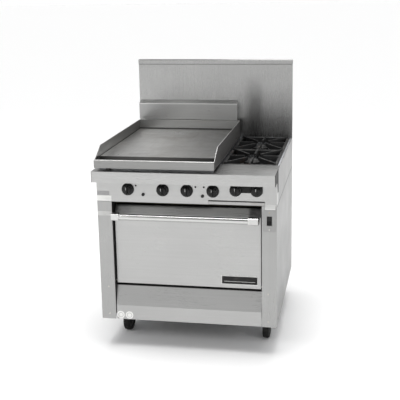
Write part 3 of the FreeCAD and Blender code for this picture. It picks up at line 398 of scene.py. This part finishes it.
def door_steel():
    """Door panel: painted dark reflections on its sloped top band near the handle's ends, and painted shade
    on its folded edges in the gap round the door.
    """
    low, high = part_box("door_skin")
    finish = brushed_steel("door_steel", scaled(STEEL, 0.97), ALONG_X, 0.3)
    reflection_across, up = finish.axis("X"), finish.axis("Z")
    band = finish.span(up, 0.686, 0.69, 0.0, 1.0)
    left = finish.span(reflection_across, low[0] + 0.02, low[0] + 0.10, 1.0, 0.0)
    right = finish.span(reflection_across, high[0] - 0.062, high[0] - 0.05, 0.0, 1.0)
    mottle = finish.span(finish.noise(26, detail=4.0, shift=2.2), 0.25, 0.6, 0.35, 1.0)
    # painted dark reflections on the sloped top band near the handle's ends, broken up by noise
    ends = finish.math("MULTIPLY", finish.math("MAXIMUM", left, right), band)
    painted_bracket_reflection = finish.math("MULTIPLY", ends, mottle)
    finish.dim(painted_bracket_reflection, 0.0, 1.0, 1.0, 0.3)
    # painted shade on the folded edges that sit in the gap round the door
    painted_gap_shade = finish.span(finish.axis("Y"), low[1] + 0.0275, low[1] + 0.0295, 0.0, 1.0)
    finish.veil(painted_gap_shade, SOOT_AND_SHADE)
    return finish.material


def outer_side_steel():
    """Side panels, darkened towards the floor by painted shade."""
    finish = brushed_steel("side_steel", scaled(STEEL, 0.57), ALONG_Z, 0.34)
    up = finish.axis("Z")
    # painted shade: darker towards the floor
    finish.dim(up, 0.18, 0.60, 0.68, 1.0)
    off_seam = finish.math("ABSOLUTE", finish.math("SUBTRACT", up, 0.749), 0.0)
    finish.veil(finish.span(off_seam, 0.001, 0.004, 0.9, 0.0), (0.06, 0.06, 0.06))
    return finish.material


def guard_sheet():
    """Backguard: browned by heat above the open burners and darkened there by a painted reflection of the
    dark burner area, with a painted shadow under its rolled head.
    """
    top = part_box("backguard")[1][2]
    finish = brushed_steel("guard_steel", scaled(STEEL, 0.86), ALONG_Z, 0.26)
    reflection_across, up = finish.axis("X"), finish.axis("Z")
    wave = finish.span(finish.noise(3.5, (1, 1, 0.5), detail=2.0, shift=5.5), 0.3, 0.7, -0.06, 0.06)
    # heat browning and a painted reflection of the dark burner area, over the burners on the front face
    browning_and_reflection = finish.math("MULTIPLY", finish.span(finish.math("ADD", reflection_across, wave), 0.08, 0.2, 0.0, 1.0),
                       finish.span(finish.math("ADD", up, wave), 0.95, 1.22, 1.0, 0.0))
    ahead = finish.span(finish.facing("Y"), -0.6, -0.3, 1.0, 0.0)
    finish.dim(finish.math("MULTIPLY", browning_and_reflection, ahead), 0.0, 1.0, 1.0, 0.66)
    # the same heat browning and painted reflection, in a narrow upright plume
    beside = finish.math("ABSOLUTE", finish.math("SUBTRACT", reflection_across, 0.222), 0.0)
    plume_browning_and_reflection = finish.math("MULTIPLY", finish.span(finish.math("ADD", beside, wave), 0.0, 0.05, 1.0, 0.0),
                        finish.span(up, 1.12, 1.27, 1.0, 0.0))
    finish.dim(finish.math("MULTIPLY", plume_browning_and_reflection, ahead), 0.0, 1.0, 1.0, 0.62)
    # painted shadow under the rolled head
    off_head = finish.math("ABSOLUTE", finish.math("SUBTRACT", up, top - 0.0265), 0.0)
    head_shadow = finish.span(off_head, 0.0, 0.0035, 0.55, 0.0)
    finish.veil(head_shadow, (0.1, 0.1, 0.1))
    return finish.material


def riser_sheet():
    """Flue riser, with a painted highlight along its sloped top."""
    finish = brushed_steel("riser_steel", scaled(STEEL, 0.74), ALONG_X, 0.3)
    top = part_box("flue_riser")[1][2]
    # painted highlight along the sloped top
    finish.dim(finish.axis("Z"), top - 0.019, top - 0.015, 1.0, 1.7)
    return finish.material


def switch_cover():
    """Dull grey cover plate, with the drip hood over it in a pale, dull grey that is not metallic."""
    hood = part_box("switch_plate")[1][2] - 0.022
    finish = brushed_steel("switch_cover", scaled(STEEL, 0.72), ALONG_Z, 0.34)
    finish.veil(finish.span(finish.axis("Z"), hood - 0.001, hood, 0.0, 1.0), (0.66, 0.66, 0.65), 0.4)
    return finish.material


ALONG_X = (0.012, 1, 1)
ALONG_Z = (1, 1, 0.012)
STEEL = (0.465, 0.465, 0.46)

panel_steel = brushed_steel("panel_steel", scaled(STEEL, 0.98), ALONG_X, 0.3).material
deck_steel = brushed_steel("deck_steel", scaled(STEEL, 1.0), ALONG_X, 0.28).material
tray_steel = brushed_steel("tray_steel", scaled(STEEL, 0.92), ALONG_X, 0.32, soil=0.5).material
bright_metal = brushed_steel("handle_steel", (0.60, 0.60, 0.59), ALONG_X, 0.2).material
cast_metal = brushed_steel("bracket_metal", (0.60, 0.60, 0.59), (1, 1, 1), 0.3).material
stile_steel = frame_steel()
lower_steel = kick_steel()
door_panel = door_steel()
side_steel = outer_side_steel()
guard_steel = guard_sheet()
riser_steel = riser_sheet()
cover_steel = switch_cover()
surround = surround_steel()
griddle = griddle_steel()
iron = cast_iron()
dark_enamel = enamel()
knob_plastic = plastic("knob_plastic", (0.007, 0.007, 0.007), 0.32, wear=0.15)
switch_plastic = plastic("switch_plastic", (0.008, 0.008, 0.008), 0.28, wear=0.1)
hub_plastic = plastic("hub_plastic", (0.006, 0.006, 0.006), 0.5, wear=0.3)
paint = black_paint()
tread = rubber()
zinc_plate = zinc()
dark_zinc = zinc("caster_zinc", (0.16, 0.16, 0.165))
nickel = plated_wire()
brass_metal = brass()
wool = glass_wool()
white_film = card("white_film", (0.82, 0.82, 0.8))
grey_film = card("grey_film", (0.33, 0.33, 0.33))
# pale print, also used for the painted reflection of the handle on the left stile
faint_print_and_reflection = card("faint_print_and_reflection", (0.55, 0.55, 0.54))
soot = card("burnt_grease", SOOT_AND_SHADE)

NODE_FINISH = {
    panel_steel: ("control_panel",),
    door_panel: ("door_skin",),
    lower_steel: ("kick_panel",),
    cover_steel: ("switch_plate",),
    stile_steel: ("front_frame",),
    side_steel: ("side_panels", "upper_side_panels"),
    deck_steel: ("front_ledge",),
    guard_steel: ("backguard",),
    riser_steel: ("flue_riser",),
    tray_steel: ("drip_tray", "grease_pan"),
    surround: ("griddle_surround",),
    griddle: ("griddle_plate",),
    bright_metal: ("handle_bar",),
    cast_metal: ("handle_brackets", "fan_wheel"),
    zinc_plate: ("base_frame", "back_panel", "burner_box", "caster_plates"),
    dark_zinc: tuple("fork_" + corner for corner in CORNERS),
    dark_enamel: ("oven_liner", "door_liner", "fan_baffle"),
    iron: ("grate_front", "grate_rear", "burner_bodies", "oven_burner", "griddle_burners", "burner_heads"),
    # black on ledge_end_caps is painted shade, standing in for the dark inside of the rail's open ends
    paint: ("ledge_end_caps", "gas_manifold", "fan_motor", "knob_bezels"),
    nickel: ("oven_rack_lower", "oven_rack_upper", "rack_guides", "hinge_arms", "door_springs", "screws"),
    brass_metal: ("gas_valves",),
    switch_plastic: ("rocker_switch", "igniter_button_left", "igniter_button_right"),
    knob_plastic: tuple("knob_" + name for name in KNOBS),
    wool: ("oven_insulation", "door_insulation"),
    tread: tuple("wheel_" + corner for corner in CORNERS),
}

# radius of the softened edges, in millimetres; sheet metal is folded to a small radius
EDGE = {
    "control_panel": 0.8, "door_skin": 0.9, "kick_panel": 0.9, "front_ledge": 0.9, "switch_plate": 0.6,
    "flue_riser": 0.8, "backguard": 0.8, "griddle_plate": 1.5, "griddle_surround": 0.9, "ledge_end_caps": 0.6,
    "grate_front": 2.0, "grate_rear": 2.0, "burner_heads": 1.0, "handle_brackets": 3.0, "drip_tray": 0.4,
    "door_liner": 0.7, "rocker_switch": 0.8, "gas_valves": 1.2, "fan_motor": 1.5, "knob_bezels": 0.6,
    "front_frame": 0.5, "side_panels": 0.5, "upper_side_panels": 0.5, "oven_burner": 1.0,
}


def dress_nodes():
    """Gives every carried-over node its finish, and softens the edges that a hand or an eye meets."""
    for material, names in NODE_FINISH.items():
        for name in names:
            thing = frame["nodes"][name]
            for slot in thing.material_slots:
                slot.link = "OBJECT"
                slot.material = material
    for name, radius in EDGE.items():
        soften(frame["nodes"][name], radius * MM)


def soften(thing, radius, segments=3):
    """Rounds the edges that are sharper than 35 degrees."""
    bevel = thing.modifiers.new("soft_edges", "BEVEL")
    bevel.width = radius
    bevel.segments = segments
    bevel.limit_method = "ANGLE"
    bevel.angle_limit = math.radians(35)
    bevel.harden_normals = True


# ---------------------------------------------------------------- piece helpers
def add(name, mesh_or_curve, material, body, smooth=True):
    """Puts a mesh in the scene on the body that carries it."""
    piece = bpy.data.objects.new(name, mesh_or_curve)
    bpy.context.scene.collection.objects.link(piece)
    mesh_or_curve.materials.append(material)
    if smooth and piece.type == "MESH":
        mesh_or_curve.shade_smooth()
    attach(piece, body)
    return piece


def made(bm, name):
    """Turns the working mesh into a finished one with its faces outwards."""
    bmesh.ops.recalc_face_normals(bm, faces=bm.faces)
    mesh = bpy.data.meshes.new(name)
    bm.to_mesh(mesh)
    bm.free()
    return mesh


def turned(name, profile, centre, axis, material, body, steps=48, flutes=None):
    """A (radius, height) outline turned about an axis; flutes is a (count, depth) that scallops it."""
    bm = bmesh.new()
    spin = Vector((0, 0, 1)).rotation_difference(Vector(axis)).to_matrix()
    rings = []
    for radius, height in profile:
        ring = []
        for i in range(steps):
            angle = math.tau * i / steps
            reach = radius
            if flutes and radius > flutes[2]:
                reach -= flutes[1] * (0.5 + 0.5 * math.cos(flutes[0] * angle)) ** 3
            spot = Vector((reach * math.cos(angle), reach * math.sin(angle), height))
            ring.append(bm.verts.new(Vector(centre) + spin @ spot))
        rings.append(ring)
    for below, above in zip(rings, rings[1:]):
        for i in range(steps):
            j = (i + 1) % steps
            bm.faces.new((below[i], below[j], above[j], above[i]))
    bm.faces.new(rings[0])
    bm.faces.new(rings[-1])
    piece = add(name, made(bm, name), material, body)
    crease_by_angle(piece)
    return piece


def crease_by_angle(piece, degrees=40):
    """Keeps edges sharp where faces meet at more than this angle."""
    piece.data.set_sharp_from_angle(angle=math.radians(degrees))


def plate(name, low, high, corner, material, body, edge=0.0004, steps=6):
    """A thin plate facing -Y with rounded corners and a softened rim."""
    bm = bmesh.new()
    (x0, y0, z0), (x1, y1, z1) = low, high
    outline = []
    for cx, cz, start in ((x1 - corner, z1 - corner, 0), (x0 + corner, z1 - corner, 90),
                          (x0 + corner, z0 + corner, 180), (x1 - corner, z0 + corner, 270)):
        for i in range(steps + 1):
            angle = math.radians(start + 90 * i / steps)
            outline.append((cx + corner * math.cos(angle), cz + corner * math.sin(angle)))
    face = bm.faces.new([bm.verts.new((x, y1, z)) for x, z in outline])
    moved = bmesh.ops.extrude_face_region(bm, geom=[face])["geom"]
    front = [item for item in moved if isinstance(item, bmesh.types.BMVert)]
    bmesh.ops.translate(bm, vec=(0, y0 - y1, 0), verts=front)
    piece = add(name, made(bm, name), material, body)
    soften(piece, edge, 2)
    return piece


def slab(name, low, high, material, body, edge=0.0008):
    """A block with softened edges."""
    bm = bmesh.new()
    bmesh.ops.create_cube(bm, size=1.0)
    size = Vector(high) - Vector(low)
    for vert in bm.verts:
        vert.co = Vector(low) + Vector(((vert.co[i] + 0.5) * size[i] for i in range(3)))
    piece = add(name, made(bm, name), material, body)
    soften(piece, edge)
    return piece


def bent_rod(name, points, radius, material, body, loop=False):
    """A round bar along a line of points, closed on itself if loop is true."""
    curve = bpy.data.curves.new(name, "CURVE")
    curve.dimensions = "3D"
    curve.bevel_depth = radius
    curve.bevel_resolution = 4
    curve.use_fill_caps = not loop
    spline = curve.splines.new("POLY")
    spline.points.add(len(points) - 1)
    for point, place in zip(spline.points, points):
        point.co = (*place, 1.0)
    spline.use_cyclic_u = loop
    line = bpy.data.objects.new(name, curve)
    mesh = bpy.data.meshes.new_from_object(line)
    bpy.data.objects.remove(line)
    bpy.data.curves.remove(curve)
    return add(name, mesh, material, body)


# ---------------------------------------------------------------- pieces
def knob(name):
    """Skirted knob: dished skirt, fluted body, a finger grip with a pointer line, and its stem."""
    node = "knob_" + name
    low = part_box(node)[0]
    centre = middle(node)
    front = low[1]
    x, z = centre.x, centre.z
    base = Vector((x, front + 0.037, z))
    out = (0, -1, 0)
    skirt = [(0.010, 0.0), (0.0288, 0.0), (0.0290, 0.0015), (0.0284, 0.0045), (0.0262, 0.0068),
             (0.0225, 0.0078),
             (0.0215, 0.0085), (0.0212, 0.0170), (0.0204, 0.0196), (0.0180, 0.0212), (0.004, 0.0216)]
    body = turned("knob_skirt_" + name, skirt, base, out, knob_plastic, node, 96,
                  (16, 0.0011, 0.0202))
    grip = bmesh.new()
    bmesh.ops.create_cube(grip, size=1.0)
    bmesh.ops.subdivide_edges(grip, edges=grip.edges, cuts=3, use_grid_fill=True)
    for vert in grip.verts:
        along, reflection_across, rise = vert.co.z * 2, vert.co.x * 2, vert.co.y + 0.5
        waist = 0.0052 + 0.0016 * along * along
        vert.co = Vector((x + reflection_across * waist * (0.82 + 0.18 * rise), front + 0.0005 + rise * 0.0185,
                          z + along * (0.0196 - 0.002 * (1 - rise))))
    piece = add("knob_grip_" + name, made(grip, "knob_grip_" + name), knob_plastic, node)
    soften(piece, 0.0016)
    stem = turned("knob_stem_" + name, [(0.0039, -0.017), (0.0039, 0.001)], base, out, nickel, node,
                  24)
    line = plate("knob_pointer_" + name, (x - 0.0009, front + 0.0001, z + 0.004),
                 (x + 0.0009, front + 0.0012, z + 0.0175), 0.0008, faint_print_and_reflection, node, 0.0002)
    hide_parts(node)
    return body, piece, stem, line


def badge():
    """Blank dark plate with a bright raised rim, low on the door."""
    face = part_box("door_skin")[0][1]
    x0, x1, z0, z1 = 0.163, 0.341, 0.351, 0.396
    plate("badge_rim", (x0, face - 0.0016, z0), (x1, face, z1), 0.0035,
          bright_metal, "door", 0.0007)
    plate("badge_field", (x0 + 0.0035, face - 0.0021, z0 + 0.0035),
          (x1 - 0.0035, face - 0.0014, z1 - 0.0035), 0.002,
          paint, "door", 0.0002)
    plate("badge_stripe", (x0 + 0.014, face - 0.0025, z0 + 0.0150),
          (x1 - 0.014, face - 0.002, z0 + 0.0168), 0.0008,
          bright_metal, "door", 0.0002)


def stickers():
    """Two blank round stickers on the kick panel, and blank plates at the left end of the control panel."""
    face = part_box("kick_panel")[0][1]
    for name, x in (("left", -0.338), ("right", -0.294)):
        turned("round_sticker_" + name, [(0.0193, 0.0), (0.0195, 0.0002), (0.0190, 0.0005), (0.001, 0.0006)],
               (x, face, 0.1735), (0, -1, 0), white_film, "range", 64)
        ring = [(0.0130, 0.00055), (0.0132, 0.0007), (0.0106, 0.0007), (0.0104, 0.00055)]
        turned("sticker_ring_" + name, ring,
               (x, face, 0.1735), (0, -1, 0), faint_print_and_reflection, "range", 64)
    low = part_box("control_panel")[0]
    panel, left = low[1], low[0]
    plate("rating_plate", (left + 0.003, panel - 0.0006, 0.783), (left + 0.062, panel, 0.803), 0.001,
          grey_film, "range", 0.0002)
    plate("white_label", (left + 0.0005, panel - 0.0005, 0.7545), (left + 0.072, panel, 0.781), 0.001,
          white_film, "range", 0.0002)
    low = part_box("front_frame")[0]
    # painted reflection of the handle on the left stile, as a pale strip
    plate("stile_handle_reflection", (low[0] + 0.001, low[1] - 0.0004, 0.681), (low[0] + 0.066, low[1], 0.702), 0.001,
          faint_print_and_reflection, "range", 0.0001)


def seams():
    """Sealant and burnt-on grease along the joints at the back and the sides of the griddle plate."""
    low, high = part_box("griddle_plate")
    top = high[2]
    slab("griddle_seam_rear", (low[0], high[1] - 0.006, top), (high[0], high[1] - 0.0001, top + 0.005), soot,
         "range")
    for name, x0, x1 in (("left", low[0] + 0.0001, low[0] + 0.003),
                         ("right", high[0] - 0.003, high[0] - 0.0001)):
        slab("griddle_seam_" + name, (x0, low[1] + 0.002, top), (x1, high[1] - 0.0065, top + 0.002), soot,
             "range")


def gasket():
    """Woven rope seal on the oven's front flange, a closed loop round the cavity."""
    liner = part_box("door_liner")[1][1]
    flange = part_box("oven_liner")[0][1]
    y = (liner + flange) / 2
    radius = (flange - liner) / 2 * 0.96
    x, z0, z1, r = 0.340, 0.338, 0.711, 0.02
    points = []
    for cx, cz, start in ((x - r, z1 - r, 0), (r - x, z1 - r, 90),
                          (r - x, z0 + r, 180), (x - r, z0 + r, 270)):
        for i in range(7):
            angle = math.radians(start + 15 * i)
            points.append((cx + r * math.cos(angle), y, cz + r * math.sin(angle)))
    bent_rod("oven_gasket", points, radius, gasket_cloth(), "range", loop=True)


def gasket_cloth():
    """Grey woven braid."""
    finish = Finish("gasket_braid", (0.1, 0.1, 0.095), 0.9, Sheen_Weight=0.2)
    braid = finish.cells(700)
    base = finish.blend(finish.span(braid, 0.1, 0.7, 0.0, 1.0), (0.16, 0.155, 0.14), (0.04, 0.04, 0.04))
    finish.put("Base Color", base)
    finish.bump(braid, 0.0008, 0.8)
    return finish.material


def caster_details(corner):
    """Hub cap with ribs on both faces of the wheel, and the axle's nuts."""
    wheel = "wheel_" + corner
    head_shadow = next(j for j in frame["record"]["behaviour"]["joints"] if j["name"] == wheel + "_roll")
    axle = Vector(head_shadow["axis"]).normalized()
    centre = Vector(head_shadow["pos_m"])
    for name, way in (("outer", 1), ("inner", -1)):
        out = axle * way
        cap = [(0.0060, 0.0110), (0.0400, 0.0110), (0.0415, 0.0118), (0.0400, 0.0128), (0.0200, 0.0135),
               (0.0175, 0.0166), (0.0120, 0.0172), (0.0060, 0.0172)]
        turned(f"hub_{name}_{corner}", cap, centre, out, hub_plastic, wheel, 64)
        for i in range(6):
            turn = Matrix.Rotation(math.tau * i / 6, 4, out)
            side = turn @ out.orthogonal().normalized()
            a = centre + out * 0.0128 + side * 0.0205
            b = centre + out * 0.0120 + side * 0.0375
            bent_rod(f"hub_rib_{name}_{i}_{corner}", [a, b], 0.0016, hub_plastic, wheel)
        nut = [(0.0050, 0.0262), (0.0080, 0.0262), (0.0080, 0.0300), (0.0065, 0.0312), (0.0030, 0.0312)]
        turned(f"axle_nut_{name}_{corner}", nut, centre, out, dark_zinc, "caster_" + corner, 6)


def front_hardware():
    """Rounded screw heads on the outer ends of the handle's brackets."""
    low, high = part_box("handle_brackets")
    for name, x, way in (("left", low[0], -1), ("right", high[0], 1)):
        turned("bracket_screw_" + name, [(0.0045, 0.0), (0.0045, 0.0008), (0.0032, 0.0018), (0.001, 0.0021)],
               (x, -0.4415, (low[2] + high[2]) / 2), (way, 0, 0), nickel, "door", 24)


# ---------------------------------------------------------------- stage
# (sine of the height above the horizon, grey)
SKY = ((0.0, 1.0), (0.10, 0.88), (0.22, 0.50), (0.40, 0.28), (0.75, 0.25), (1.0, 0.30))
# name, height and bearing in degrees, spread in degrees, strength
SUNS = (("top", 84, -40, 36, 2.0), ("side", 62, 60, 30, 0.42))
# name, place, size, power
PANELS = (("key", (-2.6, -4.0, 3.0), 1.4, 60), ("fill", (3.4, -3.2, 2.2), 1.4, 25),
          ("painted_gap_shade", (0.6, 3.4, 3.7), 2.2, 50))
EYE = (0.7881, -4.1523, 1.7786)
YAW, TILT, ROLL = -10.81, 13.15, -1.06
LENS, SENSOR, SHIFT = 75.72, 36, -0.06


def stage():
    """Pale floor under soft overhead light, with a sky that dims with height for the tops to mirror."""
    bm = bmesh.new()
    bmesh.ops.create_grid(bm, x_segments=1, y_segments=1, size=60)
    floor = bpy.data.objects.new("floor", made(bm, "floor"))
    bpy.context.scene.collection.objects.link(floor)
    pale = Finish("floor_pale", (0.95, 0.95, 0.95), 0.9, Specular_IOR_Level=0.1)
    floor.data.materials.append(pale.material)

    world = bpy.data.worlds.new("studio")
    bpy.context.scene.world = world
    world.use_nodes = True
    nodes, links = world.node_tree.nodes, world.node_tree.links
    place = nodes.new("ShaderNodeTexCoord")
    split = nodes.new("ShaderNodeSeparateXYZ")
    ramp = nodes.new("ShaderNodeValToRGB")
    links.new(place.outputs["Generated"], split.inputs["Vector"])
    links.new(split.outputs["Z"], ramp.inputs["Fac"])
    links.new(ramp.outputs["Color"], nodes["Background"].inputs["Color"])
    stops = ramp.color_ramp.elements
    for stop, (height, grey) in zip(stops, (SKY[0], SKY[-1])):
        stop.position, stop.color = height, (grey, grey, grey, 1)
    for height, grey in SKY[1:-1]:
        stops.new(height).color = (grey, grey, grey, 1)

    for name, height, bearing, spread, strength in SUNS:
        data = bpy.data.lights.new(name, "SUN")
        data.energy = strength
        data.angle = math.radians(spread)
        light = bpy.data.objects.new(name, data)
        up, turn = math.radians(height), math.radians(bearing)
        source = Vector((math.cos(up) * math.sin(turn), -math.cos(up) * math.cos(turn), math.sin(up)))
        light.rotation_euler = source.to_track_quat("Z", "Y").to_euler()
        bpy.context.scene.collection.objects.link(light)
    aim = Vector((0, 0, 0.7))
    for name, spot, size, power in PANELS:
        data = bpy.data.lights.new(name, "AREA")
        data.energy = power
        data.size = size
        light = bpy.data.objects.new(name, data)
        light.location = spot
        light.rotation_euler = (aim - Vector(spot)).to_track_quat("-Z", "Y").to_euler()
        bpy.context.scene.collection.objects.link(light)
    bpy.context.scene.view_settings.view_transform = "Standard"


def camera():
    """From the cook's right, a little above the top, slightly rolled."""
    turn, tilt, roll = math.radians(YAW), math.radians(TILT), math.radians(ROLL)
    ahead = Vector((math.sin(turn) * math.cos(tilt), math.cos(turn) * math.cos(tilt), -math.sin(tilt)))
    level = Vector((math.cos(turn), -math.sin(turn), 0))
    above = level.cross(ahead)
    right = level * math.cos(roll) + above * math.sin(roll)
    up = above * math.cos(roll) - level * math.sin(roll)
    data = bpy.data.cameras.new("camera")
    data.lens = LENS
    data.sensor_width = SENSOR
    data.shift_y = SHIFT
    view = bpy.data.objects.new("camera", data)
    view.matrix_world = Matrix((right, up, -ahead)).transposed().to_4x4()
    view.location = Vector(EYE)
    bpy.context.scene.collection.objects.link(view)
    bpy.context.scene.camera = view


dress_nodes()
for knob_name in KNOBS:
    knob(knob_name)
badge()
stickers()
seams()
gasket()
for corner_name in CORNERS:
    caster_details(corner_name)
front_hardware()
stage()
camera()
